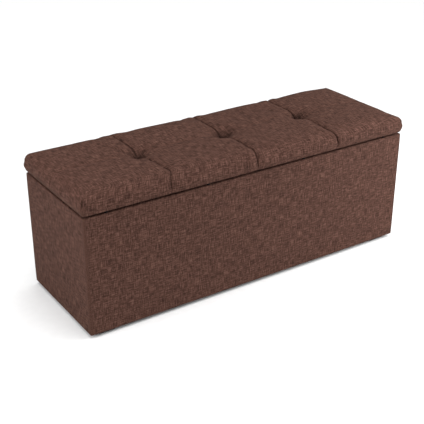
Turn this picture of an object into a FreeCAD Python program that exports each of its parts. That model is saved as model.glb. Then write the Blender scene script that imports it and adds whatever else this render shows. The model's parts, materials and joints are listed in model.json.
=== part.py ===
"""Upholstered storage bench: a fabric-covered box on four low feet, closed by a tufted, padded lid.

The box is five boards screwed together round four corner posts, with a fabric cover outside and a thin
lining inside. The lid is a board with a foam pad and a sewn cover, drawn down by three buttons. It turns
on three butt hinges along the back rim, and two slotted stays stop it just past upright.

Millimetres, +Z up. The origin is on the floor under the middle of the bench, +X runs along its length to
the right as seen from the front, and +Y points to the back.
"""

import FreeCAD
import Part
import math
import os

Vector = FreeCAD.Vector

# ---------------------------------------------------------------- driving dimensions
BODY_LENGTH = 1190.0  # box over its cover, along X
BODY_DEPTH = 394.0  # box over its cover, along Y
BODY_HEIGHT = 380.0  # from the box's lower edge to its rim
FOOT_HEIGHT = 11.0
LID_OVERHANG = 5.0  # how far the lid stands out past the box, all round
LID_THICKNESS = 64.2  # from the lid's underside to the top of its pad
LID_OPEN_DEG = 92.0
TUFT_PITCH = 306.0  # between neighbouring buttons

# Boards
PANEL_T = 15.0
BOTTOM_T = 12.0
LID_BOARD_T = 15.0
LID_BOARD_INSET = 7.0  # from the lid's outline to its board
LID_BOARD_EDGE_R = 3.0
POST_SIZE = 20.0

# Cloth
COVER_T = 1.2
LINING_T = 0.6
DUST_COVER_T = 0.4
BODY_CORNER_R = 5.0  # upright edges of the covered box
INNER_LIP = 30.0  # how far the cover comes down inside the rim
UNDER_FLANGE = 30.0  # how far the cover goes in under the box
UNDER_FLANGE_CORNER_R = 2.0
LINING_DROP = 14.0  # from the rim to the lining's upper hem
DUST_COVER_INSET = 8.0
LID_LINING_INSET = 14.0
LID_LINING_CORNER_R = 20.0

# Pad
LID_CORNER_R = 32.0  # the pad's upright edges
LID_TOP_R = 31.0  # its top edges
LID_BOTTOM_R = 8.0  # its lower edges
LID_FLANGE = 34.0  # how far the cover goes in under the lid
LID_FLANGE_CORNER_R = 4.0
FOAM_GAP = 0.2  # between the foam and its cover

# Buttons, and the funnels that they draw into the pad
BUTTON_R = 12.0
BUTTON_HEIGHT = 8.0
BUTTON_RISE = 4.5  # height of its dome
BUTTON_EDGE_R = 1.5
BUTTON_TOP = 430.0  # above the floor
WELL_TOP_R = 45.0
WELL_FLOOR_R = 14.0
TWINE_R = 1.0
TWINE_HOLE_R = 2.0
WASHER_R = 10.0
WASHER_BORE_R = 1.5
WASHER_T = 1.0

# Feet
FOOT_SIZE = 58.0
FOOT_TAPER = 4.0  # how much each side draws in towards the floor
FOOT_BAND = 3.0  # upright band at the top of the foot
FOOT_EDGE_R = 1.5
FOOT_INSET_END = 30.0
FOOT_INSET_FRONT = 10.0
FOOT_SCREW_X = 16.0  # from the foot's middle, either way
FOOT_SCREW_Y = 12.0  # from the foot's middle, towards the middle of the bench
FOOT_SCREW_SEAT = 4.0  # above the floor
FOOT_COUNTERBORE_R = 4.6

# Hinges
HINGE_X = {"left": -420.0, "center": 0.0, "right": 420.0}
LEAF_LENGTH = 70.0
LEAF_DEPTH = 15.0
LEAF_T = 1.2
KNUCKLES = 5
BARREL_R = 2.4
HINGE_PIN_R = 1.2
HINGE_PIN_HEAD_R = 1.9
HINGE_PIN_HEAD_T = 0.9
LEAF_SCREW_PITCH = 25.0
BARREL_BACK_GAP = 0.5  # from the box's back to the barrel

# Stays. Both ends of a stay are the same distance from the hinge pin, so it turns by exactly half the
# lid's angle, and its slot always lies on the stud.
STAY_RADIUS = 170.0  # from the hinge pin to either end of the stay
STAY_LEAD_DEG = 16.0  # angle at the hinge pin between those ends, lid closed
STAY_PIVOT_DROP = 11.0  # from the lid's underside to the pivot on the lid
STAY_T = 2.0
STAY_WIDTH = 16.0
STAY_ARM_X = 570.5  # inner face of the arm
STAY_TIP = 4.0  # from the slot's end to the middle of the arm's round end
STAY_SLOT_SPARE = 3.0  # slot left past the stud with the lid closed
STAY_SLOT_STOP = 0.4  # slot left past the stud with the lid open
STUD_R = 3.0
COLLAR_R = 5.5
NUT_R = 7.0  # over its corners
NUT_END_X = 566.0
STUD_PLATE_WIDTH = 16.0
STUD_PLATE_SCREW = 17.0  # from the stud to each screw
LID_PLATE_WIDTH = 20.0
LID_PLATE_LENGTH = 46.0
LID_PLATE_SCREW = 16.0  # from the pivot to each screw, along Y
EAR_R = 9.0
RIVET_INNER_HEAD_T = 1.6
RIVET_OUTER_HEAD_T = 1.2

# Bumpers on the front rim
BUMPER_X = (-520.0, -180.0, 180.0, 520.0)
BUMPER_R = 5.0
BUMPER_TOP_R = 4.2

# Screws: length, shank radius, head radius, head height
WALL_SCREW = (45.0, 2.0, 3.6, 2.2)
BOTTOM_SCREW = (40.0, 1.75, 3.6, 2.2)
FOOT_SCREW = (16.0, 1.75, 3.6, 2.2)
HINGE_SCREW = (14.0, 1.4, 2.6, 1.0)
STAY_SCREW = (14.0, 1.75, 3.2, 1.4)
RECESS_DEPTH = 0.6  # as a share of the head's height
RECESS_LENGTH = 1.1  # as a share of the head's radius
RECESS_WIDTH = 0.28  # as a share of the head's radius
WALL_SCREW_FIRST = 55.0  # from the boards' lower edge to the first screw
WALL_SCREW_PITCH = 90.0
WALL_SCREW_ROWS = 4
BOTTOM_SCREW_PITCH = 230.0
BOTTOM_SCREW_END = 90.0  # from the middle of the end board to each screw

# Staples
STAPLE_CROWN = 10.0
STAPLE_WIRE = 0.6
STAPLE_LEG = 9.0
BOX_STAPLE_INSET = 13.0
BOX_STAPLE_PITCH = 60.0
LID_STAPLE_INSET = 22.0
LID_STAPLE_PITCH = 52.0

# Clearances
PILOT_GAP = 0.1  # round a screw in its hole
RUNNING_GAP = 0.05  # radial, between a turning part and its pin
SIDE_GAP = 0.3  # beside a turning knuckle
SLIDE_GAP = 0.2  # round a sliding part
PAST = 1.0  # how far a cutting tool runs past a face

# ---------------------------------------------------------------- heights and half sizes
RIM_Z = FOOT_HEIGHT + BODY_HEIGHT
LID_Z = RIM_Z + 2 * BARREL_R
LID_TOP = LID_Z + LID_THICKNESS
COVER_Z = FOOT_HEIGHT + DUST_COVER_T
WOOD_Z = COVER_Z + COVER_T
WOOD_TOP = RIM_Z - COVER_T
FLOOR_Z = WOOD_Z + BOTTOM_T
LIP_Z = WOOD_TOP - INNER_LIP
LINING_TOP = RIM_Z - LINING_DROP
LID_COVER_Z = LID_Z + LINING_T
BOARD_Z = LID_COVER_Z + COVER_T
BOARD_TOP = BOARD_Z + LID_BOARD_T
BUTTON_SEAT = BUTTON_TOP - BUTTON_HEIGHT

BODY_X = BODY_LENGTH / 2
BODY_Y = BODY_DEPTH / 2
WOOD_X = BODY_X - COVER_T
WOOD_Y = BODY_Y - COVER_T
INNER_X = WOOD_X - PANEL_T
INNER_Y = WOOD_Y - PANEL_T
LIP_X = INNER_X - COVER_T
LIP_Y = INNER_Y - COVER_T
LINED_X = LIP_X - LINING_T
LINED_Y = LIP_Y - LINING_T
LID_X = BODY_X + LID_OVERHANG
LID_Y = BODY_Y + LID_OVERHANG

PIN_Y = BODY_Y + BARREL_R + BARREL_BACK_GAP
PIN_Z = RIM_Z + BARREL_R
RIM_LINE_Y = WOOD_Y - PANEL_T / 2  # middle of a long wall's upper edge

SIDES = {"left": -1, "right": 1}
ENDS = {"front": -1, "back": 1}
TUFT_X = {"left": -TUFT_PITCH, "center": 0.0, "right": TUFT_PITCH}

ORIGIN = Vector(0, 0, 0)
X_AXIS = Vector(1, 0, 0)
Y_AXIS = Vector(0, 1, 0)
UP = Vector(0, 0, 1)
DOWN = Vector(0, 0, -1)


# ---------------------------------------------------------------- shapes
def box(x, y, z):
    """Box between pairs of limits on each axis, in either order."""
    (x0, x1), (y0, y1), (z0, z1) = sorted(x), sorted(y), sorted(z)
    return Part.makeBox(x1 - x0, y1 - y0, z1 - z0, Vector(x0, y0, z0))


def centred_box(half_x, half_y, z0, z1, corner_r=0.0):
    """Box centred on the Z axis, with its upright edges rounded to corner_r."""
    shape = box((-half_x, half_x), (-half_y, half_y), (z0, z1))
    if corner_r:
        shape = shape.makeFillet(corner_r, upright_edges(shape))
    return shape


def upright_edges(shape):
    return [e for e in shape.Edges if e.BoundBox.ZLength > e.BoundBox.XLength + e.BoundBox.YLength]


def edges_at(shape, z):
    """Edges of shape that lie flat at height z."""
    near = 1e-4
    return [e for e in shape.Edges if abs(e.BoundBox.ZMin - z) < near and abs(e.BoundBox.ZMax - z) < near]


def rod(start, direction, length, radius):
    return Part.makeCylinder(radius, length, start, direction)


def cone(start, direction, length, start_r, end_r):
    return Part.makeCone(start_r, end_r, length, start, direction)


def polygon_face(points):
    return Part.Face(Part.makePolygon(points + points[:1]))


def fuse(shapes):
    return shapes[0].multiFuse(shapes[1:]).removeSplitter()


def on_side(shape, side):
    """The shape as drawn for the right end, or its mirror image for the left."""
    return shape if side > 0 else shape.mirror(ORIGIN, X_AXIS)


def flat_bar(x, start, end, radius):
    """Bar with round ends between two points of the plane x = 0, its faces at the two values of x."""
    along = (end - start).normalize()
    across = Vector(0, -along.z, along.y) * radius
    shift = X_AXIS * x[0]
    thickness = x[1] - x[0]
    corners = [start + across, end + across, end - across, start - across]
    middle = polygon_face([c + shift for c in corners]).extrude(X_AXIS * thickness)
    rounds = [rod(p + shift, X_AXIS, thickness, radius) for p in (start, end)]
    return fuse([middle, *rounds])


# ---------------------------------------------------------------- fasteners
class Screw:
    """Countersunk screw: seat is the middle of its head's flat, and direction points along the shank."""

    def __init__(self, seat, direction, kind):
        self.seat = seat
        self.direction = direction
        self.length, self.shank_r, self.head_r, self.head_h = kind

    def outline(self, gap=0.0):
        head = cone(self.seat, self.direction, self.head_h, self.head_r + gap, self.shank_r + gap)
        start = self.seat + self.direction * self.head_h
        shank = rod(start, self.direction, self.length - self.head_h + gap, self.shank_r + gap)
        return fuse([head, shank])

    def solid(self):
        """The screw with a cross recess in its head."""
        side = Y_AXIS if abs(self.direction.x) > abs(self.direction.y) else X_AXIS
        shape = self.outline()
        for along in (side, self.direction.cross(side)):
            half_length = along * (self.head_r * RECESS_LENGTH / 2)
            half_width = self.direction.cross(along) * (self.head_r * RECESS_WIDTH / 2)
            corners = [
                self.seat - half_length - half_width,
                self.seat + half_length - half_width,
                self.seat + half_length + half_width,
                self.seat - half_length + half_width,
            ]
            depth = self.direction * (self.head_h * RECESS_DEPTH)
            shape = shape.cut(polygon_face(corners).extrude(depth))
        return shape


def drill(shape, screws):
    """The shape with a clearance hole for every screw that reaches it."""
    holes = [s.outline(PILOT_GAP) for s in screws]
    holes = [h for h in holes if h.BoundBox.intersect(shape.BoundBox)]
    return shape.cut(Part.makeCompound(holes)) if holes else shape


def wall_screws():
    """Screws through the front and back boards into the end boards."""
    x = INNER_X + PANEL_T / 2
    z = WOOD_Z + WALL_SCREW_FIRST
    return [
        Screw(Vector(side * x, end * WOOD_Y, z + row * WALL_SCREW_PITCH), Y_AXIS * -end, WALL_SCREW)
        for end in ENDS.values()
        for side in SIDES.values()
        for row in range(WALL_SCREW_ROWS)
    ]


def bottom_screws():
    """Screws through the four walls into the bottom board's edges."""
    z = WOOD_Z + BOTTOM_T / 2
    long_sides = [
        Screw(Vector(step * BOTTOM_SCREW_PITCH, end * WOOD_Y, z), Y_AXIS * -end, BOTTOM_SCREW)
        for end in ENDS.values()
        for step in range(-2, 3)
    ]
    short_sides = [
        Screw(Vector(side * WOOD_X, step * BOTTOM_SCREW_END, z), X_AXIS * -side, BOTTOM_SCREW)
        for side in SIDES.values()
        for step in (-1, 1)
    ]
    return long_sides + short_sides


def hinge_screws(upper):
    """Three screws in each leaf, up into the lid or down into the back board's edge."""
    z = PIN_Z + (BARREL_R - LEAF_T) * (1 if upper else -1)
    return [
        Screw(Vector(x + step * LEAF_SCREW_PITCH, RIM_LINE_Y, z), UP if upper else DOWN, HINGE_SCREW)
        for x in HINGE_X.values()
        for step in (-1, 0, 1)
    ]


def foot_screws():
    """Two screws in each foot, up into the bottom board."""
    return [
        Screw(place + UP * FOOT_SCREW_SEAT, UP, FOOT_SCREW)
        for centre in foot_centres().values()
        for place in foot_screw_places(centre)
    ]


def stud_screws():
    """Two screws in each stud plate, out into the end board."""
    stud = body_stud()
    x = STUD_PLATE_X[0]
    return [
        Screw(Vector(side * x, stud.y, stud.z + step * STUD_PLATE_SCREW), X_AXIS * side, STAY_SCREW)
        for side in SIDES.values()
        for step in (-1, 1)
    ]


def lid_bracket_screws():
    """Two screws in each lid bracket, up into the lid board."""
    y = lid_pivot().y
    x = EAR_X[0] - (LID_PLATE_WIDTH - STAY_T) / 2
    return [
        Screw(Vector(side * x, y + step * LID_PLATE_SCREW, LID_Z - STAY_T), UP, STAY_SCREW)
        for side in SIDES.values()
        for step in (-1, 1)
    ]


def staple(x, y, z, along_x):
    """Staple whose crown lies above z, with its two legs pointing up."""
    half, wire = STAPLE_CROWN / 2, STAPLE_WIRE
    crown = ((-half, half), wire)
    legs = [((end * half - wire, end * half + wire), STAPLE_LEG) for end in (-1, 1)]
    bars = []
    for span, height in (crown, *legs):
        dx, dy = (span, (-wire, wire)) if along_x else ((-wire, wire), span)
        bars.append(box((x + dx[0], x + dx[1]), (y + dy[0], y + dy[1]), (z, z + height)))
    return fuse(bars)


def staple_ring(half_x, half_y, z, pitch, is_clear):
    """Staples at an even pitch round a rectangle, wherever is_clear(x, y) allows one."""
    staples = []
    for length, offset, along_x in ((half_x, half_y, True), (half_y, half_x, False)):
        count = int(2 * length // pitch)
        for step in range(count):
            along = (step - (count - 1) / 2) * pitch
            for sign in (-1, 1):
                x, y = (along, sign * offset) if along_x else (sign * offset, along)
                if is_clear(x, y):
                    staples.append(staple(x, y, z, along_x))
    return Part.makeCompound(staples)


# ---------------------------------------------------------------- box boards
def long_panel(end):
    """Front or back board: it runs the box's full length."""
    panel = box((-WOOD_X, WOOD_X), (end * INNER_Y, end * WOOD_Y), (WOOD_Z, WOOD_TOP))
    outer = [e for e in upright_edges(panel) if end * e.BoundBox.Center.y > INNER_Y + PANEL_T / 2]
    return panel.makeFillet(BODY_CORNER_R - COVER_T, outer)


def end_panel(side):
    """End board: it stands between the front and back boards."""
    return box((side * INNER_X, side * WOOD_X), (-INNER_Y, INNER_Y), (WOOD_Z, WOOD_TOP))


def corner_post(side, end):
    """Square post in an inside corner, from the bottom board to the cover's lip."""
    x = (side * (INNER_X - POST_SIZE), side * INNER_X)
    y = (end * (INNER_Y - POST_SIZE), end * INNER_Y)
    return box(x, y, (FLOOR_Z, LIP_Z))


# ---------------------------------------------------------------- box cloth
def body_cover():
    """Fabric round the box, over its rim, down inside, and in under its lower edge."""
    skin = centred_box(BODY_X, BODY_Y, COVER_Z, RIM_Z, BODY_CORNER_R)
    boards = centred_box(WOOD_X, WOOD_Y, WOOD_Z, WOOD_TOP, BODY_CORNER_R - COVER_T)
    mouth = centred_box(INNER_X, INNER_Y, WOOD_TOP - PAST, RIM_Z + PAST)
    under = centred_box(
        BODY_X - UNDER_FLANGE,
        BODY_Y - UNDER_FLANGE,
        COVER_Z - PAST,
        WOOD_Z + PAST,
        UNDER_FLANGE_CORNER_R,
    )
    lip = centred_box(INNER_X, INNER_Y, LIP_Z, RIM_Z)
    lip = lip.cut(centred_box(LIP_X, LIP_Y, LIP_Z - PAST, RIM_Z + PAST))
    return fuse([skin.cut(boards).cut(mouth).cut(under), lip])


def notched_block(half_x, half_y, z0, z1):
    """Block with its four upright corners notched round the posts."""
    block = centred_box(half_x, half_y, z0, z1)
    notch = POST_SIZE - COVER_T
    for side in SIDES.values():
        for end in ENDS.values():
            x = (side * (half_x - notch), side * (half_x + PAST))
            y = (end * (half_y - notch), end * (half_y + PAST))
            block = block.cut(box(x, y, (z0 - PAST, z1 + PAST)))
    return block


def lining_walls():
    outer = notched_block(LIP_X, LIP_Y, FLOOR_Z, LINING_TOP)
    return outer.cut(notched_block(LINED_X, LINED_Y, FLOOR_Z - PAST, LINING_TOP + PAST))


def lining_floor():
    return notched_block(LINED_X, LINED_Y, FLOOR_Z, FLOOR_Z + LINING_T)


def dust_cover():
    """Thin cloth under the whole box."""
    return centred_box(BODY_X - DUST_COVER_INSET, BODY_Y - DUST_COVER_INSET, FOOT_HEIGHT, COVER_Z)


def dust_cover_staples():
    reach = FOOT_SIZE / 2 + STAPLE_CROWN

    def is_clear(x, y):
        return all(max(abs(x - c.x), abs(y - c.y)) > reach for c in foot_centres().values())

    half_x, half_y = BODY_X - BOX_STAPLE_INSET, BODY_Y - BOX_STAPLE_INSET
    return staple_ring(half_x, half_y, FOOT_HEIGHT - STAPLE_WIRE, BOX_STAPLE_PITCH, is_clear)


# ---------------------------------------------------------------- feet and bumpers
def foot_centres():
    x = BODY_X - FOOT_INSET_END - FOOT_SIZE / 2
    y = BODY_Y - FOOT_INSET_FRONT - FOOT_SIZE / 2
    return {
        f"{end}_{side}": Vector(SIDES[side] * x, ENDS[end] * y, 0) for end in ENDS for side in SIDES
    }


def foot_screw_places(centre):
    """Floor points under a foot's two screws, on its side towards the middle of the bench."""
    y = centre.y - math.copysign(FOOT_SCREW_Y, centre.y)
    return [Vector(centre.x + step * FOOT_SCREW_X, y, 0) for step in (-1, 1)]


def foot(centre):
    """Low moulded foot, drawn in towards the floor, with two counterbored screw holes."""
    half = FOOT_SIZE / 2
    levels = ((half - FOOT_TAPER, 0.0), (half, FOOT_HEIGHT - FOOT_BAND), (half, FOOT_HEIGHT))
    rings = []
    for reach, z in levels:
        corners = [
            Vector(centre.x + sx * reach, centre.y + sy * reach, z)
            for sx, sy in ((-1, -1), (1, -1), (1, 1), (-1, 1))
        ]
        rings.append(Part.makePolygon(corners + corners[:1]))
    body = Part.makeLoft(rings, True, True)
    body = body.makeFillet(FOOT_EDGE_R, edges_at(body, 0.0))
    for place in foot_screw_places(centre):
        body = body.cut(rod(place - UP * PAST, UP, FOOT_SCREW_SEAT + PAST, FOOT_COUNTERBORE_R))
    return drill(body, foot_screws())


def rim_bumpers():
    """Soft discs on the front rim, just clear of the closed lid."""
    height = LID_Z - RIM_Z - SIDE_GAP
    return Part.makeCompound(
        [cone(Vector(x, -RIM_LINE_Y, RIM_Z), UP, height, BUMPER_R, BUMPER_TOP_R) for x in BUMPER_X]
    )


# ---------------------------------------------------------------- hinges
def hinge_leaf(x, upper):
    """One leaf with its share of the knuckles, lying flat with the lid closed."""
    sign = 1 if upper else -1
    z = sorted((PIN_Z + sign * (BARREL_R - LEAF_T), PIN_Z + sign * BARREL_R))
    knuckle = LEAF_LENGTH / KNUCKLES
    x0 = x - LEAF_LENGTH / 2
    parts = [box((x0, x0 + LEAF_LENGTH), (PIN_Y - LEAF_DEPTH, PIN_Y), z)]
    gaps = []
    for i in range(KNUCKLES):
        start = x0 + i * knuckle
        if (i % 2 == 1) == upper:
            own_start = Vector(start + SIDE_GAP / 2, PIN_Y, PIN_Z)
            parts.append(rod(own_start, X_AXIS, knuckle - SIDE_GAP, BARREL_R))
        else:
            span = (start - SIDE_GAP / 2, start + knuckle + SIDE_GAP / 2)
            back = (PIN_Y - BARREL_R - SIDE_GAP, PIN_Y + PAST)
            gaps.append(box(span, back, (z[0] - PAST, z[1] + PAST)))
    bore_r = HINGE_PIN_R + (RUNNING_GAP if upper else 0.0)
    bore = rod(Vector(x0 - PAST, PIN_Y, PIN_Z), X_AXIS, LEAF_LENGTH + 2 * PAST, bore_r)
    # The gaps are cut from the leaf before its knuckles are added, so that they never reach a knuckle.
    leaf = parts[0].cut(Part.makeCompound(gaps))
    return drill(fuse([leaf, *parts[1:]]).cut(bore), hinge_screws(upper))


def hinge_pin(x):
    """Pin with a flared head at each end, gripped by the lower leaf's knuckles."""
    reach = LEAF_LENGTH / 2
    start = Vector(x - reach - HINGE_PIN_HEAD_T, PIN_Y, PIN_Z)
    shank = rod(start, X_AXIS, LEAF_LENGTH + 2 * HINGE_PIN_HEAD_T, HINGE_PIN_R)
    heads = [
        rod(start, X_AXIS, HINGE_PIN_HEAD_T, HINGE_PIN_HEAD_R),
        rod(Vector(x + reach, PIN_Y, PIN_Z), X_AXIS, HINGE_PIN_HEAD_T, HINGE_PIN_HEAD_R),
    ]
    return fuse([shank, *heads])


# ---------------------------------------------------------------- stays
ARM_X = (STAY_ARM_X, STAY_ARM_X + STAY_T)
EAR_X = (ARM_X[1] + SLIDE_GAP, ARM_X[1] + SLIDE_GAP + STAY_T)
STUD_PLATE_X = (LINED_X - STAY_T, LINED_X)


def lid_pivot():
    """The stay's pivot on the closed lid, in the plane x = 0."""
    drop = PIN_Z - LID_Z + STAY_PIVOT_DROP
    return Vector(0, PIN_Y - math.sqrt(STAY_RADIUS**2 - drop**2), PIN_Z - drop)


def body_stud():
    """The stud that the stay slides on, in the plane x = 0."""
    pivot = lid_pivot()
    angle = math.atan2(PIN_Z - pivot.z, PIN_Y - pivot.y) + math.radians(STAY_LEAD_DEG)
    return Vector(0, PIN_Y - STAY_RADIUS * math.cos(angle), PIN_Z - STAY_RADIUS * math.sin(angle))


def stud_distance(lid_deg):
    """Distance from the lid pivot to the stud with the lid open by lid_deg."""
    return 2 * STAY_RADIUS * math.sin(math.radians(STAY_LEAD_DEG + lid_deg) / 2)


def stay_arm():
    """Slotted arm that hangs from the lid pivot past the stud."""
    pivot = lid_pivot()
    along = (body_stud() - pivot).normalize()
    slot_start = pivot + along * (stud_distance(0) - STAY_SLOT_SPARE)
    slot_end = pivot + along * (stud_distance(LID_OPEN_DEG) + STAY_SLOT_STOP)
    bar = flat_bar(ARM_X, pivot, slot_end + along * STAY_TIP, STAY_WIDTH / 2)
    slot = flat_bar((ARM_X[0] - PAST, ARM_X[1] + PAST), slot_start, slot_end, STUD_R + SLIDE_GAP)
    eye_start = pivot + X_AXIS * (ARM_X[0] - PAST)
    eye = rod(eye_start, X_AXIS, STAY_T + 2 * PAST, STUD_R + RUNNING_GAP)
    return bar.cut(slot).cut(eye)


def stud_plate():
    """Plate on the end board, with a collar and the stud standing out of it."""
    stud = body_stud()
    reach = UP * STUD_PLATE_SCREW
    plate = flat_bar(STUD_PLATE_X, stud - reach, stud + reach, STUD_PLATE_WIDTH / 2)
    base = stud + X_AXIS * STUD_PLATE_X[0]
    collar = rod(base, X_AXIS * -1, STUD_PLATE_X[0] - ARM_X[1] - SLIDE_GAP, COLLAR_R)
    post = rod(base, X_AXIS * -1, STUD_PLATE_X[0] - NUT_END_X, STUD_R)
    return fuse([plate, collar, post])


def stay_nut():
    """Hexagonal nut on the stud's end, clear of the arm."""
    centre = body_stud() + X_AXIS * NUT_END_X
    thickness = ARM_X[0] - SLIDE_GAP - NUT_END_X
    turns = [i * math.pi / 3 for i in range(6)]
    corners = [centre + Vector(0, math.cos(turn), math.sin(turn)) * NUT_R for turn in turns]
    nut = polygon_face(corners).extrude(X_AXIS * thickness)
    return nut.cut(rod(centre - X_AXIS * PAST, X_AXIS, thickness + 2 * PAST, STUD_R))


def lid_bracket():
    """Angle bracket under the lid, with the ear that carries the stay."""
    pivot = lid_pivot()
    half = LID_PLATE_LENGTH / 2
    flange_x = (EAR_X[1] - LID_PLATE_WIDTH, EAR_X[1])
    flange = box(flange_x, (pivot.y - half, pivot.y + half), (LID_Z - STAY_T, LID_Z))
    web = box(EAR_X, (pivot.y - EAR_R, pivot.y + EAR_R), (pivot.z, LID_Z))
    eye_start = pivot + X_AXIS * EAR_X[0]
    ear = rod(eye_start, X_AXIS, STAY_T, EAR_R)
    return fuse([flange, web, ear]).cut(rod(eye_start, X_AXIS, STAY_T, STUD_R))


def stay_rivet():
    """Rivet that is tight in the ear and lets the arm turn."""
    pivot = lid_pivot()
    inner = pivot + X_AXIS * (ARM_X[0] - SLIDE_GAP)
    outer = pivot + X_AXIS * EAR_X[1]
    shank = rod(inner, X_AXIS, outer.x - inner.x, STUD_R)
    inner_head = rod(inner, X_AXIS * -1, RIVET_INNER_HEAD_T, COLLAR_R)
    outer_head = rod(outer, X_AXIS, RIVET_OUTER_HEAD_T, COLLAR_R)
    return fuse([shank, inner_head, outer_head])


# ---------------------------------------------------------------- lid
def padded_shape(inset, z0, bottom_r):
    """The pad's outline with its three funnels, drawn in by inset from the cover's outside."""
    top = LID_TOP - inset
    slab = centred_box(LID_X - inset, LID_Y - inset, z0, top, LID_CORNER_R - inset)
    slab = slab.makeFillet(LID_TOP_R - inset, edges_at(slab, top))
    slab = slab.makeFillet(bottom_r, edges_at(slab, z0))
    floor = BUTTON_SEAT - inset
    depth = LID_TOP - floor
    for x in TUFT_X.values():
        funnel = cone(Vector(x, 0, floor), UP, depth, WELL_FLOOR_R + inset, WELL_TOP_R + inset)
        slab = slab.cut(funnel)
    return slab


def twine_holes():
    length = BUTTON_SEAT - LID_Z + PAST
    return Part.makeCompound([rod(Vector(x, 0, LID_Z), UP, length, TWINE_HOLE_R) for x in TUFT_X.values()])


def lid_screws():
    return hinge_screws(True) + lid_bracket_screws()


def lid_cover():
    """Sewn cover over the pad, turned in under the lid's edge."""
    outer = padded_shape(0.0, LID_COVER_Z, LID_BOTTOM_R)
    inner = padded_shape(COVER_T, BOARD_Z, LID_BOTTOM_R - COVER_T)
    opening = centred_box(
        LID_X - LID_FLANGE,
        LID_Y - LID_FLANGE,
        LID_COVER_Z - PAST,
        BOARD_Z + PAST,
        LID_FLANGE_CORNER_R,
    )
    cover = outer.cut(inner).cut(opening).cut(twine_holes())
    return drill(cover, lid_screws())


def board_blank(z0):
    half_x, half_y = LID_X - LID_BOARD_INSET, LID_Y - LID_BOARD_INSET
    return centred_box(half_x, half_y, z0, BOARD_TOP, LID_CORNER_R - LID_BOARD_INSET)


def lid_board():
    """Board with its lower edge eased for the cover."""
    board = board_blank(BOARD_Z)
    board = board.makeFillet(LID_BOARD_EDGE_R, edges_at(board, BOARD_Z))
    return drill(board.cut(twine_holes()), lid_screws())


def lid_foam():
    """Foam pad over the lid board and down round its edge."""
    inset = COVER_T + FOAM_GAP
    pad = padded_shape(inset, BOARD_Z + FOAM_GAP, LID_BOTTOM_R - inset)
    return pad.cut(board_blank(BOARD_Z - PAST)).cut(twine_holes())


def lid_lining():
    """Thin cloth under the lid, over the cover's turned-in edge."""
    half_x, half_y = LID_X - LID_LINING_INSET, LID_Y - LID_LINING_INSET
    lining = centred_box(half_x, half_y, LID_Z, LID_COVER_Z, LID_LINING_CORNER_R)
    return drill(lining, lid_screws())


def lid_lining_staples():
    pivot = lid_pivot()
    hinge_reach = LEAF_LENGTH / 2 + STAPLE_CROWN

    def is_clear(x, y):
        near_hinge = any(abs(x - hinge_x) < hinge_reach for hinge_x in HINGE_X.values())
        on_hinge = near_hinge and y > PIN_Y - LEAF_DEPTH - STAPLE_CROWN
        on_bracket = abs(x) > EAR_X[0] - LID_PLATE_WIDTH and abs(y - pivot.y) < LID_PLATE_LENGTH
        return not on_hinge and not on_bracket

    half_x, half_y = LID_X - LID_STAPLE_INSET, LID_Y - LID_STAPLE_INSET
    return staple_ring(half_x, half_y, LID_Z - STAPLE_WIRE, LID_STAPLE_PITCH, is_clear)


def button(x):
    """Covered button: a shallow dome on a short straight side."""
    seat = Vector(x, 0, BUTTON_SEAT)
    ball_r = (BUTTON_R**2 + BUTTON_RISE**2) / (2 * BUTTON_RISE)
    ball = Part.makeSphere(ball_r, Vector(x, 0, BUTTON_TOP - ball_r))
    dome = rod(seat, UP, BUTTON_HEIGHT, BUTTON_R).common(ball)
    side = rod(seat, UP, BUTTON_HEIGHT - BUTTON_RISE, BUTTON_R)
    shape = fuse([dome, side])
    return shape.makeFillet(BUTTON_EDGE_R, edges_at(shape, BUTTON_SEAT))


def tuft_washers():
    """Washers under the lid board that the twines are tied to."""
    washers = []
    for x in TUFT_X.values():
        start = Vector(x, 0, BOARD_Z - WASHER_T)
        bore = rod(start, UP, WASHER_T, WASHER_BORE_R)
        washers.append(rod(start, UP, WASHER_T, WASHER_R).cut(bore))
    return Part.makeCompound(washers)


def tuft_twines():
    """Twine from each button down through pad and board to its washer."""
    z = BOARD_Z - WASHER_T
    return Part.makeCompound([rod(Vector(x, 0, z), UP, BUTTON_SEAT - z, TWINE_R) for x in TUFT_X.values()])


# ---------------------------------------------------------------- assembly
def box_nodes():
    screws = wall_screws() + bottom_screws() + hinge_screws(False) + foot_screws() + stud_screws()
    shapes = {f"{name}_panel": long_panel(end) for name, end in ENDS.items()}
    shapes |= {f"{name}_end_panel": end_panel(side) for name, side in SIDES.items()}
    for end_name, end in ENDS.items():
        for side_name, side in SIDES.items():
            shapes[f"corner_post_{end_name}_{side_name}"] = corner_post(side, end)
    shapes["bottom_panel"] = centred_box(INNER_X, INNER_Y, WOOD_Z, FLOOR_Z)
    shapes["body_cover"] = body_cover()
    shapes["lining_walls"] = lining_walls()
    shapes["lining_floor"] = lining_floor()
    shapes["dust_cover"] = dust_cover()
    nodes = {name: drill(shape, screws) for name, shape in shapes.items()}
    nodes |= {f"foot_{name}": foot(centre) for name, centre in foot_centres().items()}
    nodes["dust_cover_staples"] = dust_cover_staples()
    nodes["rim_bumpers"] = rim_bumpers()
    return nodes


def lid_nodes():
    nodes = {
        "lid_board": lid_board(),
        "lid_foam": lid_foam(),
        "lid_cover": lid_cover(),
        "lid_lining": lid_lining(),
        "lid_lining_staples": lid_lining_staples(),
        "tuft_washers": tuft_washers(),
        "tuft_twines": tuft_twines(),
    }
    nodes |= {f"button_{name}": button(x) for name, x in TUFT_X.items()}
    return nodes


def hinge_nodes():
    nodes = {}
    for name, x in HINGE_X.items():
        nodes[f"hinge_{name}_lower_leaf"] = hinge_leaf(x, False)
        nodes[f"hinge_{name}_upper_leaf"] = hinge_leaf(x, True)
        nodes[f"hinge_{name}_pin"] = hinge_pin(x)
    return nodes


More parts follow.
